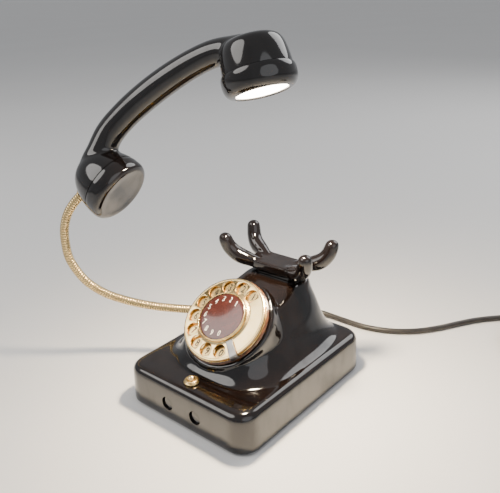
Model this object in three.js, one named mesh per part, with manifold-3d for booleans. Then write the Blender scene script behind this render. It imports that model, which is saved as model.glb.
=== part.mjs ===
// A desk telephone of moulded black Bakelite, rebuilt as a table lamp: the handset is held in the
// air by a flexible brass neck and carries a lamp in its earpiece.
// Millimetres, +Z up, front towards -Y. The origin is on the table under the middle of the plinth.
import * as THREE from "three";
import { mergeVertices } from "three/addons/utils/BufferGeometryUtils.js";
import Module from "manifold-3d";

const wasm = await Module();
wasm.setup();

// ---------------------------------------------------------------- driving dimensions
const GAP = 0.3; // clearance between touching pieces
const WALL = 3; // thickness of the moulded shells
const PLINTH = { w: 148, d: 185, bottom: 1.5, wallTop: 32, top: 39.5, draft: 1.1, corner: 19, round: 7.3 };
const PAD = { inset: 7, top: 1.8 };
const PLATE = { inset: 5, bottom: 2.1, top: 3.6 };
const SCREW = { x: 58, y: 76, shaft: 1.5, head: 3.2, top: 12 };
// Height, half width, front and rear of the body that rises from the plinth.
const BODY = [
  [39.0, 65, -66, 90],
  [42, 60, -62, 87],
  [46, 56, -58.5, 84],
  [52, 52.5, -55, 81],
  [60, 49, -46, 78],
  [70, 45, -33.5, 75],
  [80, 40.5, -21, 72],
  [88, 36.5, -8, 69.5],
  [93, 33.5, 14, 68],
  [97.2, 31, 31, 66],
];
const BODY_CORNER = 3.4; // exponent of the rounded rectangular sections
const DIAL = { y: -28.6, z: 80, tilt: 51.3, well: 38 };
// Radius and depth of the skirt that carries the dial, from its flared foot to its rim.
const SKIRT = [[51, -42], [48.6, -34], [46.6, -24], [45.2, -14], [45, -4.2]];
const WHEEL = { r: 41, under: 2.6, holeRing: 32, hole: 6.3, holes: 10, first: 62, step: 26 };
const STOP = { angle: -42.5, width: 7.5, tip: 25.2 };
const DISC = { r: 22.6, z: 8.2 };
const CRADLE = { y: 49.5, top: 112, plate: 6, hx: 26, hy: 12.5, arm: 5.6 };
const BUTTON = { x: 0, y: -76, hole: 5.3 };
const FRONT_PLUG = { x: 17, z: 18.5, r: 6.2 };
const NECK_SEAT = [-53.2, -0.2, 60]; // face of the boss that the neck is screwed to
const NECK_WAY = [-1, -0.2, 0];
const NECK_R = 4.4; // radius of the flexible neck
const NECK_ROUTE = [
  [-61.6, -2, 60],
  [-66, -3.5, 59.4],
  [-74, -7, 58.6],
  [-87, -14, 58.8],
  [-99, -22, 60],
  [-116, -36, 65],
  [-127, -47, 71],
  [-137, -58, 79],
  [-147, -69, 92],
  [-152, -75, 104],
  [-156, -80, 120],
  [-157, -81, 134],
  [-155, -81, 151],
  [-151, -78, 165.5],
  [-145, -73.9, 176],
  [-137.9, -68.7, 184.9],
];
const NECK_BENDS = [0.1, 0.48, 0.84]; // shares of the neck's length where it is taken to bend
const NECK_SLOT = 2.6; // open length left at each bend
const HANDSET = { at: [-36.6, -23.1, 234.2], heading: 27.65, rise: 34.4, lean: -17 };
const EAR = { x: 79.5, tilt: -18 };
const MOUTH = { x: -79.5, tilt: 22 };
const LEAD_R = 3;
const LEAD_EXIT = [-34, 93, 14];
// The mains lead from the strain relief along the table to its coil.
const LEAD_ROUTE = [
  [-34, 123.2, 12.4],
  [-32.8, 131.6, 10.7],
  [-28.8, 139.8, 8.3],
  [-21.5, 146.4, 5.9],
  [-11.5, 150.2, 4.1],
  [0, 151.4, 3.3],
  [13, 151.6, 3.1],
  [26, 151.7, 3.1],
  [39, 152.6, 3.1],
  [55, 156.6, 3.1],
  [72, 164.8, 3.1],
  [89, 178, 3.1],
  [105, 198, 3.1],
  [117, 218, 3.1],
  [130, 238, 3.1],
  [144, 254, 3.1],
  [159, 267, 3.1],
  [178, 276, 3.1],
  [200, 279.4, 3.1],
];
const COIL = { at: [213, 228], inner: 21, outer: 48, height: 12 };
const PLUG = { at: [272.4, 196], turn: -90 };

// ---------------------------------------------------------------- materials
function finish(color, roughness, metalness) {
  return new THREE.MeshStandardMaterial({ color, roughness, metalness });
}
const bakelite = finish("#120a08", 0.12, 0);
const brass = finish("#d9a84e", 0.2, 1);
const goldPlate = finish("#e8c070", 0.15, 1);
const steel = finish("#9a9da0", 0.35, 1);
const brownRing = finish("#5a3418", 0.35, 0.2);
const discBrown = finish("#5e2f22", 0.2, 0);
const rubber = finish("#161414", 0.8, 0);
const felt = finish("#1d2a20", 1, 0);
const spring = finish("#c2c4c6", 0.3, 1);
const paxolin = finish("#7a4a24", 0.6, 0);
const glow = finish("#fff3e0", 0.4, 0);
const glass = finish("#f4f0e8", 0.05, 0);
const cable = finish("#17130f", 0.45, 0);

// ---------------------------------------------------------------- solids
// A closed geometry as a manifold solid.
function solid(geometry) {
  const bare = geometry.index ? geometry.toNonIndexed() : geometry.clone();
  bare.deleteAttribute("normal");
  bare.deleteAttribute("uv");
  const merged = mergeVertices(bare, 1e-4);
  return new wasm.Manifold(
    new wasm.Mesh({
      numProp: 3,
      vertProperties: merged.attributes.position.array,
      triVerts: new Uint32Array(merged.index.array),
    }),
  );
}

function geometryOf(shape) {
  if (shape.isBufferGeometry) return shape;
  const mesh = shape.getMesh();
  return new THREE.BufferGeometry()
    .setAttribute("position", new THREE.BufferAttribute(mesh.vertProperties, 3))
    .setIndex(new THREE.BufferAttribute(mesh.triVerts, 1));
}

function join(...shapes) {
  return shapes.map(solid).reduce((sum, next) => sum.add(next));
}

function cut(base, ...tools) {
  const start = base.isBufferGeometry ? solid(base) : base;
  return tools.map(solid).reduce((rest, tool) => rest.subtract(tool), start);
}

// A turned piece: profile points are [radius, height], revolved about Z.
function turned(profile, segments = 24) {
  const points = profile.map(([r, z]) => new THREE.Vector2(r, z));
  return new THREE.LatheGeometry(points, segments).rotateX(Math.PI / 2);
}

function disc(r, z0, z1, segments = 32) {
  return turned([[0, z0], [r, z0], [r, z1], [0, z1]], segments);
}

function tube(inner, outer, z0, z1, segments = 32) {
  return turned([[inner, z0], [outer, z0], [outer, z1], [inner, z1], [inner, z0]], segments);
}

function block(x, y, z, cx, cy, z0) {
  return new THREE.BoxGeometry(x, y, z).translate(cx, cy, z0 + z / 2);
}

function roundedRectangle(hx, hy, r) {
  const s = new THREE.Shape();
  s.moveTo(hx, -hy + r);
  s.lineTo(hx, hy - r);
  s.absarc(hx - r, hy - r, r, 0, Math.PI / 2);
  s.lineTo(-hx + r, hy);
  s.absarc(-hx + r, hy - r, r, Math.PI / 2, Math.PI);
  s.lineTo(-hx, -hy + r);
  s.absarc(-hx + r, -hy + r, r, Math.PI, 1.5 * Math.PI);
  s.lineTo(hx - r, -hy);
  s.absarc(hx - r, -hy + r, r, 1.5 * Math.PI, 2 * Math.PI);
  return s;
}

function slab(shape, z0, z1, curveSegments = 6) {
  const flat = new THREE.ExtrudeGeometry(shape, { depth: z1 - z0, bevelEnabled: false, curveSegments });
  return flat.translate(0, 0, z0);
}

// A closed skin through rings of points, all with the same count, with flat ends.
function loft(rings) {
  const n = rings[0].length;
  const flat = rings.flat();
  const index = [];
  const first = flat.push(middle(rings[0])) - 1;
  const last = flat.push(middle(rings.at(-1))) - 1;
  for (let i = 0; i < n; i++) {
    const j = (i + 1) % n;
    for (let k = 0; k + 1 < rings.length; k++) {
      index.push(k * n + i, k * n + j, (k + 1) * n + j, k * n + i, (k + 1) * n + j, (k + 1) * n + i);
    }
    index.push(first, j, i);
    const end = (rings.length - 1) * n;
    index.push(last, end + i, end + j);
  }
  return new THREE.BufferGeometry().setFromPoints(flat).setIndex(index);
}

function middle(ring) {
  return ring.reduce((sum, p) => sum.add(p), new THREE.Vector3()).divideScalar(ring.length);
}

function superellipse(hx, hy, power, z, cx, cy, count = 32) {
  return Array.from({ length: count }, (_, i) => {
    const a = (i / count) * 2 * Math.PI;
    const c = Math.cos(a);
    const s = Math.sin(a);
    const x = Math.sign(c) * Math.abs(c) ** (2 / power) * hx;
    const y = Math.sign(s) * Math.abs(s) ** (2 / power) * hy;
    return new THREE.Vector3(cx + x, cy + y, z);
  });
}

function sweep(points, radius, sides, steps) {
  const path = new THREE.CatmullRomCurve3(points.map((p) => new THREE.Vector3(...p)));
  return along(path, radius, sides, steps);
}

function along(path, radius, sides, steps) {
  const section = new THREE.Shape();
  section.absarc(0, 0, radius, 0, 2 * Math.PI);
  const options = { steps, extrudePath: path, bevelEnabled: false, curveSegments: sides / 2 };
  return new THREE.ExtrudeGeometry(section, options);
}

// Turns a piece made along Z so that it points along a direction from a point.
function aim(shape, at, direction) {
  const turn = new THREE.Quaternion().setFromUnitVectors(
    new THREE.Vector3(0, 0, 1),
    new THREE.Vector3(...direction).normalize(),
  );
  return geometryOf(shape).applyQuaternion(turn).translate(...at);
}

const root = new THREE.Group();

function place(name, shape, material, parent = root) {
  const mesh = new THREE.Mesh(geometryOf(shape), material);
  mesh.name = name;
  parent.add(mesh);
  return mesh;
}

// ---------------------------------------------------------------- dial frame
const dial = new THREE.Group(); // its own +Z is the dial's outward normal
dial.position.set(0, DIAL.y, DIAL.z);
dial.rotation.x = THREE.MathUtils.degToRad(90 - DIAL.tilt);
root.add(dial);
dial.updateMatrixWorld(true);
const toDial = dial.matrixWorld.clone();

// ---------------------------------------------------------------- housing
function plinthSkin(inset, z0) {
  const { w, d, wallTop, top, draft, corner, round } = PLINTH;
  const rings = [];
  const ring = (shrink, z) => {
    const edge = shrink + inset;
    const shape = roundedRectangle(w / 2 - edge, d / 2 - edge, corner - shrink - inset * 0.8);
    const flat = shape.getPoints(5).slice(0, -1);
    rings.push(flat.map((p) => new THREE.Vector3(p.x, p.y, z)));
  };
  ring(0, z0);
  for (const a of [0, 30, 60, 90]) {
    const t = THREE.MathUtils.degToRad(a);
    const r = round - Math.min(inset, 2.5);
    ring(draft + r * (1 - Math.cos(t)), wallTop + r * Math.sin(t));
  }
  if (inset === 0) rings.at(-1).forEach((p) => p.setZ(top));
  return loft(rings);
}

function bodySkin(inset, z0) {
  const rows = BODY.filter((row) => row[0] >= z0);
  return loft(
    rows.map(([z, hx, front, rear]) => {
      const cy = (front + rear) / 2;
      const zz = inset && z === rows[0][0] ? z - 8 : z;
      const drop = z === BODY.at(-1)[0] ? inset : 0;
      return superellipse(hx - inset, (rear - front) / 2 - inset, BODY_CORNER, zz - drop, 0, cy);
    }),
  );
}

function housing() {
  const collar = turned([[0, -42], ...SKIRT, [0, -4.2]], 36).applyMatrix4(toDial);
  const belowTable = block(300, 300, 60, 0, 0, PLINTH.top - 5 - 60);
  const collarAbove = cut(collar, belowTable);
  const neckBoss = solid(aim(disc(9.4, -10, 0, 20), NECK_SEAT, NECK_WAY));
  const outer = join(plinthSkin(0, PLINTH.bottom), bodySkin(0, 0)).add(collarAbove);
  const core = SKIRT.map(([r, z]) => [r - WALL, z === -4.2 ? z - WALL : z]);
  const collarCore = cut(turned([[0, -42], ...core, [0, -4.2 - WALL]], 36).applyMatrix4(toDial), belowTable);
  const inner = join(plinthSkin(WALL, PLINTH.bottom - 1), bodySkin(WALL, 0)).add(collarCore);
  const hollow = outer.subtract(inner);
  const bosses = [];
  for (const sx of [-1, 1]) {
    for (const sy of [-1, 1]) {
      bosses.push(disc(5, PLATE.top + GAP, PLINTH.top - 1.5, 16).translate(sx * SCREW.x, sy * SCREW.y, 0));
    }
  }
  const pilots = [];
  for (const sx of [-1, 1]) {
    for (const sy of [-1, 1]) {
      pilots.push(disc(SCREW.shaft + GAP, 0, SCREW.top + 1, 12).translate(sx * SCREW.x, sy * SCREW.y, 0));
    }
  }
  const holes = [
    disc(DIAL.well + 1.2, -30, 2, 32).applyMatrix4(toDial),
    disc(BUTTON.hole, 30, 45, 20).translate(BUTTON.x, BUTTON.y, 0),
    aim(disc(5.2, -20, 12, 20), NECK_SEAT, NECK_WAY),
    aim(disc(5.4, -8, 8, 20), [LEAD_EXIT[0], LEAD_EXIT[1] - 2, LEAD_EXIT[2]], [0, 1, 0]),
    block(47.2, 20.4, 30, 0, CRADLE.y, 85),
  ];
  for (const sx of [-1, 1]) {
    holes.push(aim(disc(FRONT_PLUG.r + GAP, -8, 8, 20),
      [sx * FRONT_PLUG.x, -PLINTH.d / 2, FRONT_PLUG.z], [0, -1, 0]));
  }
  return cut(hollow.add(join(...bosses)).add(neckBoss), ...pilots, ...holes);
}
place("housing", housing(), bakelite);

// ---------------------------------------------------------------- base
function baseSheet(inset, z0, z1, holeR) {
  const outline = roundedRectangle(PLINTH.w / 2 - inset, PLINTH.d / 2 - inset, PLINTH.corner - inset);
  const flat = slab(outline, z0, z1);
  const holes = [];
  for (const sx of [-1, 1]) {
    for (const sy of [-1, 1]) {
      holes.push(disc(holeR, z0 - 1, z1 + 1, 16).translate(sx * SCREW.x, sy * SCREW.y, 0));
    }
  }
  return cut(flat, ...holes);
}
place("base_pad", baseSheet(PAD.inset, 0, PAD.top, SCREW.head + 1), felt);
place("base_plate", baseSheet(PLATE.inset, PLATE.bottom, PLATE.top, SCREW.shaft + GAP), steel);
for (const [i, [sx, sy]] of [[-1, -1], [1, -1], [1, 1], [-1, 1]].entries()) {
  const head = turned([[0, 0.4], [SCREW.head, 0.9], [SCREW.head, 1.8], [SCREW.shaft, 1.8],
    [SCREW.shaft, SCREW.top], [0, SCREW.top]], 14);
  place("base_screw_" + (i + 1), head.translate(sx * SCREW.x, sy * SCREW.y, 0), steel);
}
place("ballast_weight", slab(roundedRectangle(34, 26, 4), 3.9, 22, 3).translate(0, 34, 0), steel);

// A two-pole block that joins the lead to the lamp wires.
function terminalBlock() {
  const body = block(24, 12, 11, -34, 76, 3.9);
  const wells = [-40, -28].map((x) => disc(2, 9, 20, 12).translate(x, 76, 0));
  return cut(body, ...wells);
}
place("terminal_block", terminalBlock(), paxolin);
for (const [name, sx] of [["front_plug_left", -1], ["front_plug_right", 1]]) {
  const y = -PLINTH.d / 2;
  const plug = turned([[0, -6], [FRONT_PLUG.r + 2.2, -6], [FRONT_PLUG.r + 2.2, -4.4],
    [FRONT_PLUG.r, -4.4], [FRONT_PLUG.r, -1.6], [0, -1.6]], 20);
  place(name, aim(plug, [sx * FRONT_PLUG.x, y + 0.3, FRONT_PLUG.z], [0, -1, 0]), bakelite);
}

// ---------------------------------------------------------------- push button on the plinth
const button = new THREE.Group();
button.position.set(BUTTON.x, BUTTON.y, PLINTH.top);
root.add(button);
place("button_collar", turned([[3.7, -5], [5, -5], [5, 0.3], [7, 0.3], [7, 2.2], [6, 3.4], [3.7, 3.4],
  [3.7, -5]], 28), brass, button);
place("button_nut", cut(disc(7.6, -6.2, -3.6, 6), disc(5.3, -8, 0, 20)), brass, button);
place("button_plunger", turned([[0, -9], [2.2, -9], [2.2, -4], [3.3, -4], [3.3, 5.2], [2.4, 6.4],
  [0, 6.8]], 24), goldPlate, button);
place("button_switch", cut(block(15, 13, 14, 0, 0, -27),
  disc(2.7, -22, 0, 16)).add(solid(tube(4.4, 6.2, -13.5, -6.6, 20))), paxolin, button);
place("button_spring", tube(1.2, 2, -20.6, -9.4, 12), spring, button);

// ---------------------------------------------------------------- dial
// The ring that holds the dial in the housing.
place("dial_bezel", turned([[36.6, -12], [37.9, -12], [37.9, -3.9], [41.2, -3.9], [42.4, -2.6],
  [42.4, -0.8], [41.4, 0.2], [39.6, 0.2], [36.6, -2.6], [36.6, -12]], 32), brownRing, dial);
place("number_plate", turned([[9, -1.6], [40, 0.5 + GAP], [41.4, 0.5 + GAP], [41.4, 1.3 + GAP],
  [39, 1.3 + GAP], [9, -0.4], [9, -1.6]], 32), brass, dial);

function fingerWheel() {
  const z = WHEEL.under;
  const dish = turned([[4, z + 2.6], [21, z + 2.4], [26, z + 0.4], [39.4, z], [WHEEL.r, z + 0.4],
    [WHEEL.r, z + 1.4], [39.4, z + 1.8], [27, z + 1.8], [22, z + 3.8], [4, z + 4], [4, z + 2.6]], 36);
  const holes = Array.from({ length: WHEEL.holes }, (_, i) => {
    const a = THREE.MathUtils.degToRad(WHEEL.first + i * WHEEL.step);
    return disc(WHEEL.hole, -2, 12, 12).translate(WHEEL.holeRing * Math.cos(a),
      WHEEL.holeRing * Math.sin(a), 0);
  });
  return cut(dish, ...holes);
}
const wheelTurn = new THREE.Group(); // the pieces that turn together
dial.add(wheelTurn);
place("finger_wheel", fingerWheel(), goldPlate, wheelTurn);
place("centre_disc", disc(DISC.r, 7.1, DISC.z, 32), discBrown, wheelTurn);
place("retaining_ring", turned([[DISC.r + GAP, 7], [24.6, 6.2], [24.6, 7.6], [23.6, 8.9],
  [DISC.r + GAP, 8.9], [DISC.r + GAP, 7]], 28), brass, wheelTurn);
place("dial_spindle", turned([[0, -22], [3, -22], [3, 4], [3.6, 4], [3.6, 6.9], [0, 6.9]], 16),
  steel, wheelTurn);
place("main_gear", gear(18, 24, 3.3, -20, -18), brass, wheelTurn);

function gear(r, teeth, bore, z0, z1) {
  const shape = new THREE.Shape();
  const depth = 0.9;
  for (let i = 0; i < teeth; i++) {
    for (const [share, radius] of [[0, r - depth], [0.25, r], [0.5, r], [0.75, r - depth]]) {
      const a = ((i + share) / teeth) * 2 * Math.PI;
      const p = [radius * Math.cos(a), radius * Math.sin(a)];
      if (i === 0 && share === 0) shape.moveTo(...p);
      else shape.lineTo(...p);
    }
  }
  const hole = new THREE.Path();
  hole.absarc(0, 0, bore, 0, 2 * Math.PI, true);
  shape.holes.push(hole);
  return slab(shape, z0, z1, 8);
}

function fingerStop() {
  const blade = block(42.6 - STOP.tip, STOP.width, 1.2, (42.6 + STOP.tip) / 2, 0, 5.6);
  const leg = block(1.2, STOP.width, 6.4, 42.9, 0, 0.4);
  const foot = block(1.6, STOP.width, 1.1, 42.7, 0, 0.4);
  return join(blade, leg, foot);
}
const stop = place("finger_stop", fingerStop(), steel, dial);
stop.rotation.z = THREE.MathUtils.degToRad(STOP.angle);
place("dial_back_plate", cut(disc(34, -16.4, -14.6, 36), disc(3.4, -18, -12, 16),
  disc(1.9, -18, -12, 10).translate(22.6, 0, 0)), steel, dial);
for (const [i, a] of [30, 150, 270].entries()) {
  const t = THREE.MathUtils.degToRad(a);
  place("dial_pillar_" + (i + 1), disc(2, -14.3, -2.9, 10).translate(30 * Math.cos(t),
    30 * Math.sin(t), 0), brass, dial);
}
const PINION = { r: 4, x: 22.6 };
const pinionTurn = new THREE.Group();
pinionTurn.position.set(PINION.x, 0, 0);
dial.add(pinionTurn);
place("governor_pinion", join(disc(PINION.r - 0.4, -20, -18, 12), disc(1.5, -24, -8, 12),
  disc(5.4, -13, -9.6, 20)), brass, pinionTurn);
place("return_spring", tube(4.6, 9, -13.6, -9.4, 24), spring, dial);
place("pulse_springs", join(block(26, 1, 5, -6, 22, -24), block(26, 1, 5, -6, 25, -24),
  block(7, 6.4, 7.4, -16, 23.5, -24.2)), paxolin, dial);

// ---------------------------------------------------------------- cradle
// The saddle with its four horns, on two pins that push the lamp's switch.
function cradleFork() {
  const { y, top, plate, hx, hy, arm } = CRADLE;
  const shapes = [slab(roundedRectangle(hx, hy, 5), top - plate, top, 4).translate(0, y, 0)];
  shapes.push(block(44, 18, 16, 0, y, top - plate - 14));
  for (const sx of [-1, 1]) {
    for (const sy of [-1, 1]) {
      const points = [
        [sx * 22, y + sy * 9, top - 4.4],
        [sx * 31, y + sy * 12.5, top - 2.4],
        [sx * 40, y + sy * 16, top + 2.5],
        [sx * 46, y + sy * 19.5, top + 11],
        [sx * 48, y + sy * 21.5, top + 20],
      ];
      shapes.push(sweep(points, arm, 10, 7));
      shapes.push(sweep(points.slice(0, 3), arm + 1.6, 10, 4));
      shapes.push(new THREE.SphereGeometry(arm * 0.99, 10, 6).translate(...points.at(-1)));
    }
  }
  return join(...shapes);
}
place("cradle_fork", cradleFork(), bakelite);
for (const [side, x] of [["left", -13], ["right", 13]]) {
  place("cradle_pin_" + side, disc(2, 62, 91.7, 14).translate(x, CRADLE.y, 0), steel);
  place("cradle_spring_" + side, tube(2.6, 4.2, 76.4, 91.2, 14).translate(x, CRADLE.y, 0), spring);
}
// The bracket that guides both pins.
function pinBracket() {
  const bar = block(40, 14, 3, 0, CRADLE.y, 73);
  return cut(bar, ...[-13, 13].map((x) => disc(2.4, 70, 80, 14).translate(x, CRADLE.y, 0)));
}
const posts = [-18, 18].map((x) => block(4, 8, 50.8, x, CRADLE.y, 22.3));
place("pin_bracket", pinBracket().add(join(...posts)), steel);
place("hook_switch", join(block(14, 9, 20, 0, CRADLE.y, 34), block(1.2, 7, 14, 0, CRADLE.y, 53.5)),
  paxolin);

// ---------------------------------------------------------------- flexible neck
const neckPath = new THREE.CatmullRomCurve3(NECK_ROUTE.map((p) => new THREE.Vector3(...p)),
  false, "centripetal");
const neckLength = neckPath.getLength();

// The stretch of the neck between two shares of its length, as a curve of its own.
function neckStretch(from, to, count) {
  const share = (i) => from + ((to - from) * i) / count;
  const points = Array.from({ length: count + 1 }, (_, i) => neckPath.getPointAt(share(i)));
  return new THREE.CatmullRomCurve3(points, false, "centripetal");
}
const half = NECK_SLOT / 2 / neckLength;
const ends = [0, ...NECK_BENDS.flatMap((s) => [s - half, s + half]), 1];
for (let i = 0; i < 4; i++) {
  const steps = Math.max(3, Math.round((ends[2 * i + 1] - ends[2 * i]) * 34));
  place("neck_tube_" + (i + 1), along(neckStretch(ends[2 * i], ends[2 * i + 1], 12),
    NECK_R, 10, steps), brass);
}
place("neck_base_fitting", aim(turned([[0, -12], [4.9, -12], [4.9, 0.3], [8.4, 0.3], [8.4, 3.4],
  [6.6, 4.4], [5.6, 7.4], [0, 7.4]], 24), NECK_SEAT, NECK_WAY), brass);

// ---------------------------------------------------------------- handset
const handset = new THREE.Group(); // x from mouthpiece to earpiece, z away from both faces
handset.position.set(...HANDSET.at);
const radians = [HANDSET.lean, -HANDSET.rise, HANDSET.heading].map(THREE.MathUtils.degToRad);
handset.rotation.set(...radians, "ZYX");
root.add(handset);

// A piece turned about the axis of one end of the handset, seen from the face outwards.
function atEnd(shape, end) {
  return geometryOf(shape).rotateY(THREE.MathUtils.degToRad(-end.tilt)).translate(end.x, 0, 0);
}
const HANDLE = [
  // x, z of the middle, half height, half width
  [-99, 26, 10, 17],
  [-90, 36.5, 12.5, 18],
  [-77, 44, 12.8, 15],
  [-62, 52, 13.2, 11.8],
  [-40, 56.6, 13, 11.4],
  [-12, 58.4, 13, 11.8],
  [18, 57.6, 12.6, 11.8],
  [44, 54.6, 12, 11.4],
  [62, 50, 11.8, 12],
  [76, 43, 11.8, 13.5],
  [88, 35.5, 12.3, 15],
  [98, 26, 10, 14.5],
];

// The curved grip: elliptical sections square to its middle line.
function handle(grow) {
  const rings = HANDLE.map(([x, z, hz, hy], i) => {
    const before = HANDLE[Math.max(0, i - 1)];
    const after = HANDLE[Math.min(HANDLE.length - 1, i + 1)];
    const along2 = new THREE.Vector2(after[0] - before[0], after[1] - before[1]).normalize();
    return Array.from({ length: 16 }, (_, k) => {
      const a = (k / 16) * 2 * Math.PI;
      const up = Math.cos(a) * (hz + grow);
      return new THREE.Vector3(x - along2.y * up, Math.sin(a) * -(hy + grow), z + along2.x * up);
    });
  });
  return loft(rings);
}

const EAR_BOWL = [[0, 18.3], [28.2, 18.3], [29.5, 19.6], [28.8, 27], [27, 36], [22.6, 42.8],
  [14, 45.6], [0, 46]];
const MOUTH_BOWL = [[0, 16.3], [29, 16.3], [30.4, 17.6], [28.4, 25], [25, 34], [19.8, 41.6],
  [12.6, 46.4], [0, 48]];

function handsetShell() {
  const outer = join(handle(0), atEnd(turned(EAR_BOWL), EAR), atEnd(turned(MOUTH_BOWL), MOUTH));
  const earHollow = turned([[0, 18], [25.4, 18], [25.4, 26], [22.8, 32], [17, 37.4], [8, 41.4],
    [0, 42.6]]);
  const mouthHollow = turned([[0, 16], [25.4, 16], [25.2, 24], [22, 32], [16.6, 38], [9, 42], [0, 43.4]]);
  const bore = handle(-5.2);
  const entry = aim(disc(4.6, -14, 14, 16), [-113.5, 0, 25.5], [-0.91, 0, -0.41]);
  return cut(outer, bore, atEnd(earHollow, EAR), atEnd(mouthHollow, MOUTH), entry);
}
place("handset_shell", handsetShell(), bakelite, handset);
place("earpiece_cap", atEnd(turned([[22.1, 3], [22.1, 0], [24, -0.4], [27.4, 0.8], [30.2, 4],
  [31.5, 8.6], [31.5, 14], [30.4, 18], [27.4, 18], [27.4, 5.4], [24.4, 3], [22.1, 3]], 28), EAR),
  bakelite, handset);
place("mouthpiece_cap", atEnd(turned([[0, 0], [26, 0], [29.6, 2], [31, 5.4], [31, 12.6], [30.2, 16],
  [27.4, 16], [27.4, 3.4], [0, 3.4]], 28), MOUTH), bakelite, handset);
place("lamp_lens", atEnd(turned([[0, 1.1], [21.7, 1.1], [21.7, 3.3], [24, 3.3], [24, 5], [0, 5]], 32),
  EAR), glow, handset);
place("reflector", atEnd(turned([[23.8, 5.4], [24.6, 5.4], [19, 17.5], [9.4, 24], [8.4, 24], [18, 17],
  [23.8, 5.4]], 28), EAR), steel, handset);
place("lamp_bulb", atEnd(turned([[0, 9], [6, 10.4], [8, 15], [6, 21], [4.6, 24.8], [0, 24.8]], 20),
  EAR), glass, handset);
place("lamp_holder", atEnd(cut(disc(8, 25.1, 37, 20), disc(1.8, 33, 40, 10)), EAR), paxolin, handset);
place("neck_top_fitting", aim(cut(disc(4.3, -9, 4.2, 16), disc(2, -10, -4, 10)), [-113.5, 0, 25.5],
  [-0.91, 0, -0.41]), brass, handset);

// The wires inside the handset, from the neck to the lamp holder.
function handsetWire() {
  const points = [[-103, 0, 31], [-92, 0, 36], [-78, 0, 43], [-60, 0, 52], [-30, 0, 57], [0, 0, 58.4],
    [30, 0, 56.4], [56, 0, 51.6], [72, 0, 46], [82.5, 0, 40.2]];
  return sweep(points, 1.4, 8, 20);
}
place("handset_wire", handsetWire(), cable, handset);

// ---------------------------------------------------------------- mains lead
place("strain_relief", aim(turned([[0, -7], [7, -7], [7, -4.9], [4.9, -4.9], [4.9, -0.2], [7, -0.2],
  [7, 2.6], [5.4, 3], [3.9, 29.4], [0, 29.4]], 20), LEAD_EXIT, [0, 1, -0.05]), rubber);
place("mains_lead", sweep(LEAD_ROUTE, LEAD_R, 8, 44), cable);
place("lead_coil", tube(COIL.inner, COIL.outer, 0.1, COIL.height, 36).translate(...COIL.at, 0), cable);
// The strap round the coil's turns, on the side away from the plug.
function coilTie() {
  const { inner, outer, height } = COIL;
  const width = 6;
  const thick = 1.2;
  const over = height + thick + 0.2;
  const legs = [outer + 1.2, inner - 1.2].map((r) => block(thick, width, over, -r, 0, 0));
  return join(...legs, block(outer - inner + 2.4, width, thick, -(outer + inner) / 2, 0, over - thick));
}
place("coil_tie", geometryOf(coilTie()).translate(...COIL.at, 0), rubber);

// A flat two-pin plug lying on the table.
const plug = new THREE.Group();
plug.position.set(...PLUG.at, 6.9);
plug.rotation.z = THREE.MathUtils.degToRad(PLUG.turn);
root.add(plug);
function plugBody() {
  const rows = [[-22, 3.6, 3.6], [-12, 4.6, 4.4], [-4, 9, 6], [2, 13, 6.8], [16, 13, 6.8], [18, 11, 5.6]];
  return loft(rows.map(([x, hy, hz]) => superellipse(hz, hy, 3.4, x, 0, 0, 20))).rotateY(Math.PI / 2);
}
place("plug_body", plugBody(), rubber, plug);
for (const [name, y] of [["plug_pin_1", -9.2], ["plug_pin_2", 9.2]]) {
  place(name, aim(turned([[0, 0], [2.2, 0], [2.2, 17], [1.2, 18.6], [0, 18.6]], 12), [18.3, y, 0],
    [1, 0, 0]), brass, plug);
}

export default root;
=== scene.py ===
# %% [markdown]
# # A desk telephone rebuilt as a table lamp
# The object is an old desk telephone of polished black Bakelite. Its handset no longer rests on the
# cradle: a flexible brass neck holds it in the air, and a lamp shines from its earpiece. The packed
# CAD model is the fixed frame that everything here is built around, so that each piece moves with
# the right part of it.

# %% The frame
import math

import bmesh
import bpy
import numpy as np
from mathutils import Matrix, Vector


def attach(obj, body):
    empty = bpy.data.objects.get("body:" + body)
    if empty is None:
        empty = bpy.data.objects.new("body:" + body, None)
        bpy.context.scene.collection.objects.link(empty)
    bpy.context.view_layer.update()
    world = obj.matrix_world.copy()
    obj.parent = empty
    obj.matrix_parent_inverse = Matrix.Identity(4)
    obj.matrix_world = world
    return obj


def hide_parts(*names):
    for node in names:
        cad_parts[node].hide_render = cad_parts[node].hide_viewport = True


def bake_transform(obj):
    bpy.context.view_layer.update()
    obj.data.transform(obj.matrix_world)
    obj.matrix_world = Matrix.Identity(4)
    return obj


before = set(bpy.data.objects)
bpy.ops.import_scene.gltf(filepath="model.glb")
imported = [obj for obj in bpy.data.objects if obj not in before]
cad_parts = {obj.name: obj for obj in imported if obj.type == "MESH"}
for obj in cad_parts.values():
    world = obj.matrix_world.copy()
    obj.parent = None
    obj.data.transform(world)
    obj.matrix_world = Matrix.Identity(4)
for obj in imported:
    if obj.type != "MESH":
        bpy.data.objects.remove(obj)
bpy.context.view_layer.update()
MM = 0.001
scene = bpy.context.scene


def linked(name, data):
    """A new object in the scene."""
    made = bpy.data.objects.new(name, data)
    scene.collection.objects.link(made)
    return made


# %% [markdown]
# ## Camera
# A camera is placed the way a photographer talks about it: where it looks, from which side, how
# high, how far away and how much it leans. The lens is a short telephoto, so the plinth's edges run
# together only a little.

# %% The camera
LOOK_AT = Vector((7.9, 0, 144.4)) * MM
AZIMUTH, ELEVATION, ROLL = (math.radians(a) for a in (41.08, 22.48, 2.32))
DISTANCE = 566.6 * MM

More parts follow.
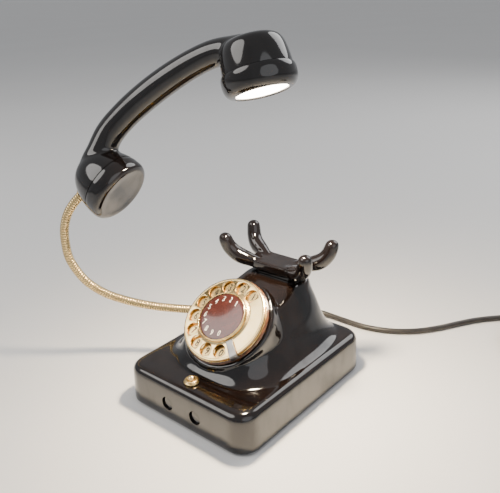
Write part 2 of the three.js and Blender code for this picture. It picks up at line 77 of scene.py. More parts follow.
camera = scene.camera = linked("camera", bpy.data.cameras.new("camera"))
camera.data.sensor_width = 36
camera.data.lens = 45.83
back = Vector((math.sin(AZIMUTH) * math.cos(ELEVATION), -math.cos(AZIMUTH) * math.cos(ELEVATION),
    math.sin(ELEVATION)))
turn = (-back).to_track_quat("-Z", "Y").to_matrix() @ Matrix.Rotation(-ROLL, 3, "Z")
camera.matrix_world = Matrix.Translation(LOOK_AT + back * DISTANCE) @ turn.to_4x4()
print("camera at", [round(x, 4) for x in camera.matrix_world.translation], "right",
    [round(x, 4) for x in turn.col[0]])

# %% [markdown]
# ## Numbers on the surfaces
# A procedural material is a small sum over numbers that change from place to place. Writing such a
# sum with nodes alone is slow to read, so one small class wraps a socket and lets Python's own
# operators add the Math nodes. A second class holds the material and has one method that makes any
# other node.

# %% Sums on sockets
class Field:
    """A value that changes over a surface. Adding or multiplying it makes a Math node."""

    def __init__(self, tree, socket):
        self.tree, self.socket = tree, socket

    def _with(self, operation, *values):
        node = self.tree.nodes.new("ShaderNodeMath")
        node.operation = operation
        for slot, value in zip(node.inputs, values):
            feed(self.tree, slot, value)
        return Field(self.tree, node.outputs[0])

    def __add__(self, other):
        return self._with("ADD", self, other)

    def __sub__(self, other):
        return self._with("SUBTRACT", self, other)

    def __rsub__(self, other):
        return self._with("SUBTRACT", other, self)

    def __mul__(self, other):
        return self._with("MULTIPLY", self, other)

    def above(self, low, high):
        """0 below low, 1 above high, and a smooth step between them."""
        node = self.tree.nodes.new("ShaderNodeMapRange")
        node.interpolation_type = "SMOOTHSTEP"
        feed(self.tree, node.inputs["Value"], self)
        node.inputs["From Min"].default_value = low
        node.inputs["From Max"].default_value = high
        return Field(self.tree, node.outputs["Result"])

    __radd__, __rmul__ = __add__, __mul__


def feed(tree, slot, value):
    if isinstance(value, Field):
        tree.links.new(value.socket, slot)
    else:
        slot.default_value = value


# %% Finishes
class Finish:
    """A material with a Principled shader, and one method that makes every other node."""

    def __init__(self, name, **constants):
        self.material = bpy.data.materials.new(name)
        self.material.use_nodes = True
        self.tree = self.material.node_tree
        self.shader = self.tree.nodes["Principled BSDF"]
        for socket, value in constants.items():
            self.shader.inputs[socket.replace("_", " ")].default_value = value
        self.place = self.node("ShaderNodeTexCoord", out="Object")

    def node(self, kind, settings=None, out=0, **sockets):
        node = self.tree.nodes.new(kind)
        for key, value in (settings or {}).items():
            setattr(node, key, value)
        for key, value in sockets.items():
            feed(self.tree, node.inputs[key.replace("_", " ")], value)
        return Field(self.tree, node.outputs[out])

    def noise(self, size, detail=3, stretch=(1, 1, 1)):
        """Soft blotches about `size` metres across."""
        where = self.node("ShaderNodeMapping", Vector=self.place, Scale=stretch)
        return self.node("ShaderNodeTexNoise", out="Fac", Vector=where, Scale=1 / size, Detail=detail)

    def blend(self, share, first, second):
        """A colour between two others."""
        node = self.tree.nodes.new("ShaderNodeMix")
        node.data_type = "RGBA"
        feed(self.tree, node.inputs["Factor"], share)
        for slot, colour in ((node.inputs[6], first), (node.inputs[7], second)):
            feed(self.tree, slot, colour if isinstance(colour, Field) else (*colour, 1))
        return Field(self.tree, node.outputs[2])

    def bump(self, height, strength, distance):
        return self.node("ShaderNodeBump", Height=height, Strength=strength, Distance=distance)

    def set(self, **values):
        for socket, value in values.items():
            feed(self.tree, self.shader.inputs[socket.replace("_", " ")], value)
        return self.material


# %% [markdown]
# ## Materials
# Polished Bakelite is nearly black with a brown cast. What tells it from paint is its faintly
# uneven surface: it was pressed in a mould and polished by hand, so reflections waver, and decades
# of dusting leave soft smears that are a little less shiny.

# %% Bakelite
def bakelite_finish():
    finish = Finish("bakelite", Specular_IOR_Level=0.55, Coat_Roughness=0.06)
    cloud = finish.noise(0.02, 4)
    smear = finish.noise(0.012, 5, (1, 1, 0.35)).above(0.45, 0.75)
    dust = finish.noise(0.0009, 2).above(0.66, 0.8)
    colour = finish.blend(cloud.above(0.35, 0.7), (0.003, 0.0018, 0.0014), (0.0052, 0.003, 0.0023))
    colour = finish.blend(dust * 0.12, colour, (0.06, 0.05, 0.04))
    waver = finish.bump(finish.noise(0.03, 2), 0.25, 0.0006)
    return finish.set(
        Base_Color=colour,
        Roughness=0.075 + smear * 0.07 + dust * 0.12,
        Coat_Weight=0.35 - smear * 0.2,
        Normal=waver,
    )


bakelite = bakelite_finish()


# %% [markdown]
# Brass is yellow metal, and its finish depends on the piece. The finger wheel is polished like a
# mirror, with hair-fine scratches around its middle; the other fittings are duller and have a
# little brown tarnish where cloths don't reach.

# %% Brass
def brass_finish(name, bright, dark, roughness, tarnish):
    finish = Finish(name, Metallic=1.0)
    patch = finish.noise(0.008, 5).above(0.4, 0.75) * tarnish
    hair = finish.noise(0.0006, 2, (1, 0.12, 1))
    colour = finish.blend(patch, bright, dark)
    return finish.set(
        Base_Color=colour,
        Roughness=roughness + patch * 0.2 + hair * 0.08,
        Normal=finish.bump(hair, 0.08, 0.00005),
    )


brass = brass_finish("brass", (0.86, 0.62, 0.27), (0.42, 0.25, 0.09), 0.2, 0.45)
polished_brass = brass_finish("polished_brass", (0.96, 0.71, 0.34), (0.74, 0.47, 0.17), 0.15, 0.3)


# %% The flexible neck's brass, with shade painted dark down in its grooves
def neck_finish():
    finish = Finish("neck_brass", Metallic=1.0)
    groove = finish.node("ShaderNodeAttribute", {"attribute_name": "groove"}, out="Fac")
    patch = finish.noise(0.01, 4).above(0.45, 0.7)
    colour = finish.blend(patch * 0.4, (0.66, 0.49, 0.24), (0.44, 0.3, 0.14))
    # painted shade: the colour goes to near-black brown down in the grooves, where the rib wave is deep
    colour = finish.blend(groove.above(0.45, 0.95), colour, (0.1, 0.055, 0.02))
    return finish.set(Base_Color=colour, Roughness=0.24 + groove * 0.3 + patch * 0.08)


neck_brass = neck_finish()


# %% Steel, felt, rubber and the other plain stuffs
def steel_finish(name, colour, roughness):
    finish = Finish(name, Metallic=1.0)
    grain = finish.noise(0.0012, 3, (1, 0.06, 1))
    stain = finish.noise(0.015, 4).above(0.5, 0.8)
    shade = finish.blend(stain * 0.5, colour, tuple(0.6 * c for c in colour))
    return finish.set(Base_Color=shade, Roughness=roughness + grain * 0.15,
        Normal=finish.bump(grain, 0.15, 0.0001))


def plain_finish(name, light, dark, roughness, size, depth):
    """A dull material: blotched colour and a fine uneven surface of the given size and depth."""
    finish = Finish(name)
    blotch = finish.noise(0.012, 4)
    grain = finish.noise(size, 4)
    shade = finish.blend(blotch.above(0.3, 0.7), dark, light)
    return finish.set(Base_Color=shade, Roughness=roughness + grain * 0.12,
        Normal=finish.bump(grain, 0.6, depth))


steel = steel_finish("steel", (0.3, 0.29, 0.28), 0.26)
spring_steel = steel_finish("spring_steel", (0.68, 0.68, 0.7), 0.2)
felt = plain_finish("felt", (0.03, 0.05, 0.035), (0.015, 0.028, 0.02), 0.85, 0.0005, 0.0004)
rubber = plain_finish("rubber", (0.022, 0.02, 0.019), (0.012, 0.011, 0.01), 0.45, 0.0007, 0.00008)
cable = plain_finish("cable", (0.03, 0.026, 0.022), (0.016, 0.013, 0.011), 0.32, 0.0012, 0.00006)
insulating_board = plain_finish("insulating_board", (0.3, 0.16, 0.07), (0.2, 0.1, 0.04), 0.5, 0.0008, 0.0001)


# %% The dial's brown ring and disc, and the paint of its figures
def lacquer_finish(name, light, dark, roughness):
    finish = Finish(name, Coat_Roughness=0.05)
    cloud = finish.noise(0.006, 5)
    fleck = finish.noise(0.0007, 2).above(0.62, 0.78)
    colour = finish.blend(cloud.above(0.3, 0.7), dark, light)
    return finish.set(Base_Color=colour, Roughness=roughness + fleck * 0.15, Coat_Weight=0.45 - fleck * 0.3)


brown_ring = lacquer_finish("brown_ring", (0.12, 0.045, 0.016), (0.055, 0.02, 0.008), 0.2)
disc_brown = lacquer_finish("disc_brown", (0.05, 0.014, 0.011), (0.036, 0.01, 0.008), 0.16)
figure_white = plain_finish("figure_white", (0.85, 0.82, 0.76), (0.7, 0.66, 0.58), 0.4, 0.0004, 0.00002)
figure_black = plain_finish("figure_black", (0.02, 0.017, 0.014), (0.01, 0.008, 0.007), 0.3, 0.0004, 0.00002)


# %% The glowing lens and the bulb's glass
def lens_finish():
    finish = Finish("lens", Roughness=0.25, Emission_Strength=22.0)
    swirl = finish.noise(0.01, 3)
    warm = finish.blend(swirl, (1.0, 0.93, 0.82), (1.0, 0.86, 0.68))
    return finish.set(Base_Color=warm, Emission_Color=warm)


def bulb_finish():
    finish = Finish("bulb_glass", Roughness=0.3, Emission_Strength=9.0)
    warm = finish.blend(finish.noise(0.006, 2), (1.0, 0.9, 0.72), (1.0, 0.82, 0.58))
    return finish.set(Base_Color=warm, Emission_Color=warm)


lens, bulb_glass = lens_finish(), bulb_finish()
print(len(bpy.data.materials), "materials")

# %% [markdown]
# ## Tools for shapes
# Most pieces here are turned, lofted or swept, so three short functions make their points in
# millimetres. They all end in the same place: a closed mesh whose points are where they belong, on
# an object at the origin.

# %% Meshes
def mesh_object(name, points, faces, place=Matrix.Identity(4)):
    """A mesh from points in millimetres, put in its place, with its faces turned outwards."""
    mesh = bpy.data.meshes.new(name)
    mesh.from_pydata([tuple(MM * float(x) for x in p) for p in points], [], faces)
    mesh.transform(place)
    form = bmesh.new()
    form.from_mesh(mesh)
    bmesh.ops.remove_doubles(form, verts=form.verts, dist=1e-6)
    bmesh.ops.recalc_face_normals(form, faces=form.faces)
    form.to_mesh(mesh)
    form.free()
    return linked(name, mesh)


def evaluated(obj):
    bpy.context.view_layer.update()
    return bpy.data.meshes.new_from_object(obj.evaluated_get(bpy.context.evaluated_depsgraph_get()))


def settled(obj):
    """The object with its modifiers worked into its mesh."""
    mesh = evaluated(obj)
    obj.modifiers.clear()
    obj.data = mesh
    return obj


def dress(obj, material, body, slot, *nodes, crease=32):
    """Gives a finished mesh its material, its shading, its body and the CAD nodes it stands for."""
    obj.data.materials.clear()
    obj.data.materials.append(material)
    for polygon in obj.data.polygons:
        polygon.material_index = 0
    obj.data.shade_smooth()
    obj.data.set_sharp_from_angle(angle=math.radians(crease))
    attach(obj, body)
    if nodes:
        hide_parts(*nodes)
    return obj


# %% Curves
def step_lengths(path):
    return np.linalg.norm(np.diff(path, axis=0), axis=1)


def through(points, count):
    """A smooth curve through points of any dimension, with `count` samples evenly along it."""
    p = np.array(points, float)
    p = np.vstack([2 * p[0] - p[1], p, 2 * p[-1] - p[-2]])
    knots = np.concatenate([[0], np.cumsum(step_lengths(p) ** 0.5)])
    samples = []
    for i in range(1, len(p) - 2):
        k0, k1, k2, k3 = knots[i - 1 : i + 3]
        t = np.linspace(k1, k2, 40, endpoint=False)[:, None]
        a1 = ((k1 - t) * p[i - 1] + (t - k0) * p[i]) / (k1 - k0)
        a2 = ((k2 - t) * p[i] + (t - k1) * p[i + 1]) / (k2 - k1)
        a3 = ((k3 - t) * p[i + 1] + (t - k2) * p[i + 2]) / (k3 - k2)
        b1 = ((k2 - t) * a1 + (t - k0) * a2) / (k2 - k0)
        b2 = ((k3 - t) * a2 + (t - k1) * a3) / (k3 - k1)
        samples.append(((k2 - t) * b1 + (t - k1) * b2) / (k2 - k1))
    dense = np.vstack([*samples, p[-2]])
    run = np.concatenate([[0], np.cumsum(step_lengths(dense))])
    stops = np.linspace(0, run[-1], count)
    return np.stack([np.interp(stops, run, dense[:, k]) for k in range(dense.shape[1])], axis=1)


def rounded(profile, steps=4):
    """A profile of [x, y, corner radius] points with its corners rounded."""
    points = [np.array((*p, 0)[:3], float) for p in profile]
    out = [points[0][:2]]
    for before, here, after in zip(points, points[1:], points[2:]):
        corner, radius = here[:2], here[2]
        if not radius:
            out.append(corner)
            continue
        arms = []
        for other in (before, after):
            away = other[:2] - corner
            length = np.linalg.norm(away)
            arms.append(corner + away * min(radius / length, 0.48))
        for t in np.linspace(0, 1, steps + 1):
            out.append((1 - t) ** 2 * arms[0] + 2 * t * (1 - t) * corner + t * t * arms[1])
    out.append(points[-1][:2])
    return out


# %% Turned, lofted and swept shapes
def turned(name, profile, place=Matrix.Identity(4), sides=96):
    """A piece turned about Z from a profile of [radius, height, corner radius] points."""
    outline = rounded(profile)
    points, rows = [], []
    for r, z in outline:
        count = 1 if r < 1e-6 else sides
        rows.append(range(len(points), len(points) + count))
        for i in range(count):
            a = 2 * math.pi * i / sides
            points.append((r * math.cos(a), r * math.sin(a), z))
    faces = []
    for low, high in zip(rows, rows[1:]):
        for i in range(sides):
            j = (i + 1) % sides
            corners = [low[i % len(low)], low[j % len(low)], high[j % len(high)], high[i % len(high)]]
            face = list(dict.fromkeys(corners))
            if len(face) > 2:
                faces.append(face)
    return mesh_object(name, points, faces, place)


def drum(name, radius, low, high, place, sides=96):
    return turned(name, [(0, low), (radius, low), (radius, high), (0, high)], place, sides)


def lofted(name, rings, place=Matrix.Identity(4)):
    """A closed skin over rings of points, all with the same count."""
    n = len(rings[0])
    points = [p for ring in rings for p in ring]
    faces = [list(range(n))[::-1], [len(points) - n + i for i in range(n)]]
    for k in range(len(rings) - 1):
        for i in range(n):
            j = (i + 1) % n
            faces.append([k * n + i, k * n + j, (k + 1) * n + j, (k + 1) * n + i])
    return mesh_object(name, points, faces, place)


def swept(name, path, radius, sides):
    """A tube along a path. The radius is a number or one number for each point."""
    path = np.array(path, float)
    radii = np.broadcast_to(radius, len(path))
    tangents = np.gradient(path, axis=0)
    tangents /= np.linalg.norm(tangents, axis=1)[:, None]
    side = np.cross(tangents[0], (0.3, 0.2, 0.93))
    rings = []
    for centre, tangent, r in zip(path, tangents, radii):
        side = side - tangent * (side @ tangent)
        side /= np.linalg.norm(side)
        up = np.cross(tangent, side)
        angles = [2 * math.pi * i / sides for i in range(sides)]
        rings.append([centre + r * (math.cos(a) * side + math.sin(a) * up) for a in angles])
    return lofted(name, rings)


# %% Carving, joining and melting shapes
def carved(obj, tool):
    """Cuts the tool out of the object and throws the tool away."""
    change = obj.modifiers.new("carve", "BOOLEAN")
    change.operation, change.solver, change.object = "DIFFERENCE", "MANIFOLD", tool
    settled(obj)
    bpy.data.objects.remove(tool)
    return obj


def one_object(name, *parts):
    """The parts as one object, whatever their overlaps."""
    form = bmesh.new()
    for part in parts:
        form.from_mesh(part.data)
        bpy.data.objects.remove(part)
    mesh = bpy.data.meshes.new(name)
    form.to_mesh(mesh)
    form.free()
    return linked(name, mesh)


def melted(obj, voxel, smoothing):
    """Overlapping closed shapes become one skin of small squares, with rounded joins."""
    skin = obj.modifiers.new("skin", "REMESH")
    skin.mode, skin.voxel_size = "VOXEL", voxel * MM
    soften = obj.modifiers.new("soften", "SMOOTH")
    soften.factor, soften.iterations = 0.5, smoothing
    return settled(obj)


# %% [markdown]
# Two of the shapes below are made by a tree of Geometry Nodes. Both trees have named inputs and end
# by making their instances real and giving them a material, so one class holds what they share.

# %% Trees of Geometry Nodes
class Tree:
    """A tree with named inputs, and methods that add a node, close the tree and use it."""

    def __init__(self, name, *inputs):
        self.tree = bpy.data.node_groups.new(name, "GeometryNodeTree")
        self.sockets = {}
        for label, kind in inputs:
            self.sockets[label] = self.tree.interface.new_socket(label, in_out="INPUT",
                socket_type="NodeSocket" + kind)
        self.tree.interface.new_socket("Geometry", in_out="OUTPUT", socket_type="NodeSocketGeometry")
        self.given = self.tree.nodes.new("NodeGroupInput").outputs
        self.end = self.tree.nodes.new("NodeGroupOutput")

    def add(self, kind, links, out=0, **settings):
        node = self.tree.nodes.new(kind)
        for key, value in settings.items():
            setattr(node, key, value)
        for slot, value in links.items():
            if isinstance(value, (int, float, str, bool)):
                node.inputs[slot].default_value = value
            else:
                self.tree.links.new(value, node.inputs[slot])
        return node.outputs[out]

    def sum_of(self, operation, a, b=0.0):
        return self.add("ShaderNodeMath", {0: a, 1: b}, operation=operation)

    def close(self, geometry):
        real = self.add("GeometryNodeRealizeInstances", {"Geometry": geometry})
        dressed = self.add("GeometryNodeSetMaterial", {"Geometry": real, "Material": self.given["Material"]})
        self.tree.links.new(dressed, self.end.inputs[0])

    def use(self, obj, values):
        """Runs the tree on the object and works the result into its mesh."""
        nodes = obj.modifiers.new("nodes", "NODES")
        nodes.node_group = self.tree
        for label, value in values.items():
            nodes[self.sockets[label].identifier] = value
        return settled(obj)


# %% [markdown]
# ## Mains lead
# The lead is one fixed length of round flex. It leaves the rear of the plinth through a tapered
# sleeve, drops on to the table and wanders off to the right. What is not needed lies in a neat
# coil, two layers deep, and ends in a plug. A spiral worked out in a loop keeps the turns one
# thickness apart, which no hand-placed list of points would do.

# %% The lead's route
LEAD_RADIUS = 3.0
LEAD_ROUTE = [
    (-34, 119, 12.7), (-34, 123, 12.4), (-32.8, 131.6, 10.7), (-28.8, 139.8, 8.3), (-21.5, 146.4, 5.9),
    (-11.5, 150.2, 4.1), (0, 151.4, 3.3), (13, 151.6, 3.1), (26, 151.7, 3.1), (39, 152.6, 3.1),
    (55, 156.6, 3.1), (72, 164.8, 3.1), (89, 178, 3.1), (105, 198, 3.1), (117, 218, 3.1),
    (130, 238, 3.1), (144, 254, 3.1), (159, 267, 3.1), (178, 274.6, 3.1), (200, 278, 3.1),
]
COIL_CENTRE = np.array((213.0, 228.0))
COIL_OUTER, COIL_PITCH = 45.0, 6.1
COIL_INNER = COIL_OUTER - 3 * COIL_PITCH  # line of the innermost turn
LAYERS = (3.1, 9.3)
PLUG_TAIL = np.array((272.4, 218.0, 6.9))


def eased(t):
    return t * t * (3 - 2 * t)


def coil_route():
    """Clockwise turns: in from the route's end, inwards on the table, up, and outwards on top."""
    start = np.array(LEAD_ROUTE[-1][:2]) - COIL_CENTRE
    first, reach = math.degrees(math.atan2(start[1], start[0])), np.linalg.norm(start)
    low, top = LAYERS
    legs = [
        (first - 30, reach, COIL_OUTER, low, low),
        (3 * 360, COIL_OUTER, COIL_INNER, low, low),
        (300, COIL_INNER, COIL_INNER + 1.5, low, top),
        (2 * 360 + 30, COIL_INNER + 1.5, COIL_OUTER - 1, top, top),
    ]
    points, angle = [], first
    for sweep, r0, r1, z0, z1 in legs:
        count = max(4, round(sweep / 12))
        for i in range(1, count + 1):
            t = i / count
            ease = eased(t) if abs(z1 - z0) > 0 or r0 > COIL_OUTER else t
            a = math.radians(angle - sweep * t)
            r = r0 + (r1 - r0) * ease
            x, y = COIL_CENTRE + r * np.array((math.cos(a), math.sin(a)))
            points.append((x, y, z0 + (z1 - z0) * ease))
        angle -= sweep
    return points, math.radians(angle % 360)


def lead_route():
    """The whole lead: to the coil, round it, and off on a straight and a bend into the plug."""
    turns, angle = coil_route()
    heading = angle - math.pi / 2
    ahead = np.array((math.cos(heading), math.sin(heading)))
    gap = PLUG_TAIL[:2] - np.array(turns[-1][:2])
    bend = np.array((1 + math.sin(heading), -math.cos(heading)))
    straight, radius = np.linalg.solve(np.stack([ahead, bend], axis=1), gap)
    print("lead leaves its coil at", round(math.degrees(angle)), "degrees")
    print("straight", round(straight, 1), "mm, bend radius", round(radius, 1), "mm")
    tail = []
    for t in (0.5, 1):
        tail.append((*(np.array(turns[-1][:2]) + ahead * straight * t), LAYERS[1] - 1.5 * t))
    corner = np.array(tail[-1][:2])
    for t in np.linspace(0.2, 1, 5):
        h = heading + (-math.pi / 2 - heading) * t
        step = radius * np.array((math.sin(heading) - math.sin(h), math.cos(h) - math.cos(heading)))
        tail.append((*(corner + step), PLUG_TAIL[2]))
    tail.append(tuple(PLUG_TAIL - (0, 5, 0)))
    route = LEAD_ROUTE + turns + tail
    return through(route, 1100)


lead_path = lead_route()

# %% The lead
mains_lead = swept("lead", lead_path, LEAD_RADIUS, sides=14)
dress(mains_lead, cable, "base", "cable", "mains_lead", "lead_coil")

# %% Sections and places
def rounded_rectangle(hx, hy, r, steps=10):
    """A plan of half sizes hx and hy with corner radius r, starting at the front right corner."""
    points = []
    for k, (sx, sy) in enumerate([(1, -1), (1, 1), (-1, 1), (-1, -1)]):
        for i in range(steps + 1):
            a = math.pi / 2 * (k - 1 + i / steps)
            points.append((sx * (hx - r) + r * math.cos(a), sy * (hy - r) + r * math.sin(a)))
    return points


def superellipse(hx, hy, power, count=96):
    """A plan between an ellipse and a rectangle."""
    points = []
    for i in range(count):
        c, s = math.cos(2 * math.pi * i / count), math.sin(2 * math.pi * i / count)
        points.append((math.copysign(abs(c) ** (2 / power) * hx, c),
            math.copysign(abs(s) ** (2 / power) * hy, s)))
    return points


def aimed(at, way):
    """The place of a piece made along Z that is put at a point in millimetres and turned a given way."""
    turn = Vector((0, 0, 1)).rotation_difference(Vector(way).normalized())
    return Matrix.Translation(Vector(at) * MM) @ turn.to_matrix().to_4x4()


def at(x, y, z):
    return Matrix.Translation(Vector((x, y, z)) * MM)


def turned_by(degrees, axis):
    return Matrix.Rotation(math.radians(degrees), 4, axis)


def slab(name, plan, z0, z1, place=Matrix.Identity(4)):
    return lofted(name, [[(x, y, z) for x, y in plan] for z in (z0, z1)], place)


DIAL_TILT = 51.3  # degrees that the dial leans back from upright
DIAL_PLACE = at(0, -28.6, 80) @ turned_by(90 - DIAL_TILT, "X")

# %% [markdown]
# ## Housing
# The housing is one moulding: a low plinth with rolled edges, and a waisted body that sweeps up out
# of it to carry the cradle, with a round skirt for the dial. On a moulding every inside corner is
# rounded. Lofting the plinth and the body apart and letting a voxel remesh melt them into one skin
# gives those soft joins at once; a few rounds of smoothing take away the marks of the voxels.

# %% Plinth and body
PLINTH_HALF, PLINTH_TOP = (74, 92.5), 39.5
CRADLE_Y = 49.5
BODY_TOP = 97.1  # rings above this height are the top, which the hollow stays one wall under
BODY = [  # height, half width, front, rear
    (39, 65, -66, 90), (42, 60, -62, 87), (46, 56, -58.5, 84), (52, 52.5, -55, 81), (60, 49, -46, 78),
    (70, 45, -33.5, 75), (80, 40.5, -21, 72), (88, 36.5, -8, 69.5), (93, 33.5, 14, 68), (97.2, 31, 31, 66),
]
SKIRT = [(0, -42), (51, -42), (48.6, -34), (46.6, -24), (45.2, -14), (45, -4.2, 2), (0, -4.2)]


def plinth_rings(inset, bottom):
    draft, roll, wall_top = 1.1, 7.3 - 0.8 * inset, 32
    rows = [(0, bottom)]
    for a in np.radians(np.arange(0, 91, 7.5)):
        rows.append((draft + roll * (1 - math.cos(a)), wall_top + roll * math.sin(a)))
    rings = []
    for shrink, z in rows:
        edge = shrink + inset
        plan = rounded_rectangle(PLINTH_HALF[0] - edge, PLINTH_HALF[1] - edge, 19 - shrink - 0.8 * inset)
        rings.append([(x, y, z) for x, y in plan])
    return rings


def body_rings(inset):
    rings = []
    for z, hx, front, rear in through(BODY, 48):
        middle, hy = (front + rear) / 2, (rear - front) / 2
        drop = inset if z > BODY_TOP else 0
        down = 8 if inset and z < 39.1 else 0
        rings.append([(x, middle + y, z - drop - down) for x, y in superellipse(hx - inset, hy - inset, 3.4)])
    return rings


def skirt(inset):
    """The round skirt of the dial, without the part that would come out under the plinth's top."""
    profile = [(max(0, r - inset * (r > 0)), z - inset * (z > -5)) for r, z, *_ in SKIRT]
    return turned("skirt", profile, DIAL_PLACE, sides=120)


# %% The moulding, its hollow and its holes
NECK_SEAT, NECK_WAY = (-53.2, -0.2, 60), (-1, -0.2, 0)
LEAD_EXIT, LEAD_WAY = (-34, 93, 14), (0, 1, -0.05)
PLUG_PLACES = [(x, -92.2, 18.5) for x in (-17, 17)]
BUTTON_PLACE = at(0, -76, PLINTH_TOP)


def housing():
    boss = drum("boss", 9.4, -10, 0, aimed(NECK_SEAT, NECK_WAY))
    outside = one_object("housing_shell", lofted("p", plinth_rings(0, 1.5)), lofted("b", body_rings(0)),
        skirt(0), boss)
    melted(outside, 1.25, 14)
    inside = one_object("inside", lofted("p", plinth_rings(3, -4)), lofted("b", body_rings(3)), skirt(3))
    melted(inside, 2.4, 3)
    carved(outside, inside)
    holes = [
        drum("well", 39.2, -30, 2, DIAL_PLACE),
        drum("neck_hole", 5.2, -20, 12, aimed(NECK_SEAT, NECK_WAY), 48),
        drum("lead_hole", 5.4, -12, 8, aimed(LEAD_EXIT, (0, 1, 0)), 48),
        drum("button_hole", 5.3, -9, 9, BUTTON_PLACE, 48),
        slab("stem_slot", rounded_rectangle(23.6, 10.2, 2), 85, 115, at(0, CRADLE_Y, 0)),
    ]
    for place in PLUG_PLACES:
        holes.append(drum("plug_hole", 6.5, -8, 8, aimed(place, (0, -1, 0)), 48))
    for hole in holes:
        carved(outside, hole)
    return dress(outside, bakelite, "base", "bakelite", "housing", crease=50)


shell = housing()
print("housing", len(shell.data.polygons), "faces, from", [round(x / MM, 1) for x in shell.bound_box[0]])

# %% Blanking plugs in the front wall
for side, place in zip(("left", "right"), PLUG_PLACES):
    profile = [(0, -5.8), (8.3, -5.8), (8.3, -4.2), (6.2, -4.2), (6.2, -1.9, 0.8), (3, -1.5, 1), (0, -1.5)]
    plug = turned("front_plug_" + side + "_disc", profile, aimed(place, (0, -1, 0)), 64)
    dress(plug, bakelite, "base", "bakelite", "front_plug_" + side)

# %% [markdown]
# ## Cradle
# The saddle with its four horns is one more moulding. Each horn starts thin inside the saddle,
# swells, runs outwards and curls up to a round tip, so a tube swept along a short curve and capped
# with a ball describes it. Melting joins it to the saddle like the real moulding.

# %% Cradle
HORN_ROUTE = [(15, 6, 107.4), (31, 12.5, 110.8), (40, 16, 115), (45.4, 19.2, 121.6), (47.4, 21.2, 128),
    (48, 21.7, 131)]
HORN_RADII = [0, 0.3, 0.5, 1], [4, 7.2, 8, 6.7]  # shares of the horn's length, and the radius at each
HORN_SAMPLES = 30
HORN_TIP = [(6.5 * math.sin(a), -5.4 * math.cos(a)) for a in np.radians(range(15, 166, 15))]
HORN_TIP = [(0, -6.5), *HORN_TIP, (0, 5.4)]


def horn(sx, sy):
    """One horn, to the left or right of the middle and to the front or rear of it."""
    route = [(sx * x, CRADLE_Y + sy * y, z) for x, y, z in HORN_ROUTE]
    along = np.linspace(0, 1, HORN_SAMPLES)
    tube = swept("horn", through(route, HORN_SAMPLES), np.interp(along, *HORN_RADII), 28)
    tip = turned("tip", HORN_TIP, at(*route[-1]), 32)
    return [tube, tip]


def cradle():
    saddle = slab("saddle", rounded_rectangle(30, 14, 7), 102.6, 111.4, at(0, CRADLE_Y, 0))
    stem = slab("stem", rounded_rectangle(22, 9, 3), 92, 106, at(0, CRADLE_Y, 0))
    parts = [saddle, stem]
    for sx in (-1, 1):
        for sy in (-1, 1):
            parts += horn(sx, sy)
    fork = melted(one_object("cradle_moulding", *parts), 0.8, 26)
    return dress(fork, bakelite, "cradle", "bakelite", "cradle_fork", crease=60)


fork = cradle()
print("cradle", len(fork.data.polygons), "faces")

# %% [markdown]
# ## Dial
# Under the finger wheel lies a ring of figures, and a second set of figures is painted on the disc
# in the middle. The ten finger holes stand 26 degrees apart, and the first tree of Geometry Nodes
# sets ten round cutters on their ring.

# %% Cutters on a ring
CUTTER_SIDES, CUTTER_DEPTH = 40, 30 * MM


def ring_of_cutters_tree():
    ring = Tree("ring of cutters", ("Count", "Int"), ("Ring Radius", "Float"), ("Cutter Radius", "Float"),
        ("First Angle", "Float"), ("Step Angle", "Float"), ("Material", "Material"))
    index = ring.add("GeometryNodeInputIndex", {})
    swung = ring.sum_of("MULTIPLY", index, ring.given["Step Angle"])
    angle = ring.sum_of("ADD", swung, ring.given["First Angle"])
    x = ring.sum_of("MULTIPLY", ring.sum_of("COSINE", angle), ring.given["Ring Radius"])
    y = ring.sum_of("MULTIPLY", ring.sum_of("SINE", angle), ring.given["Ring Radius"])
    spot = ring.add("ShaderNodeCombineXYZ", {"X": x, "Y": y})
    points = ring.add("GeometryNodePoints", {"Count": ring.given["Count"], "Position": spot})
    sizes = {"Vertices": CUTTER_SIDES, "Radius": ring.given["Cutter Radius"], "Depth": CUTTER_DEPTH}
    cutter = ring.add("GeometryNodeMeshCylinder", sizes)
    ring.close(ring.add("GeometryNodeInstanceOnPoints", {"Points": points, "Instance": cutter}))
    return ring


CUTTER_TREE = ring_of_cutters_tree()

# %% The dial's ring, number plate and finger wheel
HOLES, HOLE_RING, HOLE_RADIUS = 10, 32.0, 6.3
FIRST_HOLE, HOLE_STEP = math.radians(62), math.radians(26)


def bevelled(obj, width, angle=40, segments=3):
    edge = obj.modifiers.new("edge", "BEVEL")
    edge.width, edge.segments = width * MM, segments
    edge.limit_method, edge.angle_limit = "ANGLE", math.radians(angle)
    return settled(obj)


bezel = turned("dial_ring", [
    (36.6, -12), (37.9, -12), (37.9, -3.9), (41.2, -3.9, 0.8), (42.4, -2.6, 0.8), (42.4, -0.9, 0.5),
    (41.9, -0.7), (41.9, -0.5), (42.3, -0.3, 0.3), (41.4, 0.25, 0.6), (39.4, 0.25, 0.6), (36.6, -2.6),
    (36.6, -12)], DIAL_PLACE, 160)
dress(bezel, brown_ring, "base", "brown_ring", "dial_bezel")

plate = turned("figure_plate", [
    (9, -1.5), (40, 0.85), (41.2, 0.85), (41.2, 1.4, 0.3), (39.4, 1.5, 0.3), (38.6, 1.2, 0.3), (9, -0.5),
    (9, -1.5)], DIAL_PLACE, 160)
dress(plate, brass, "base", "brass", "number_plate")


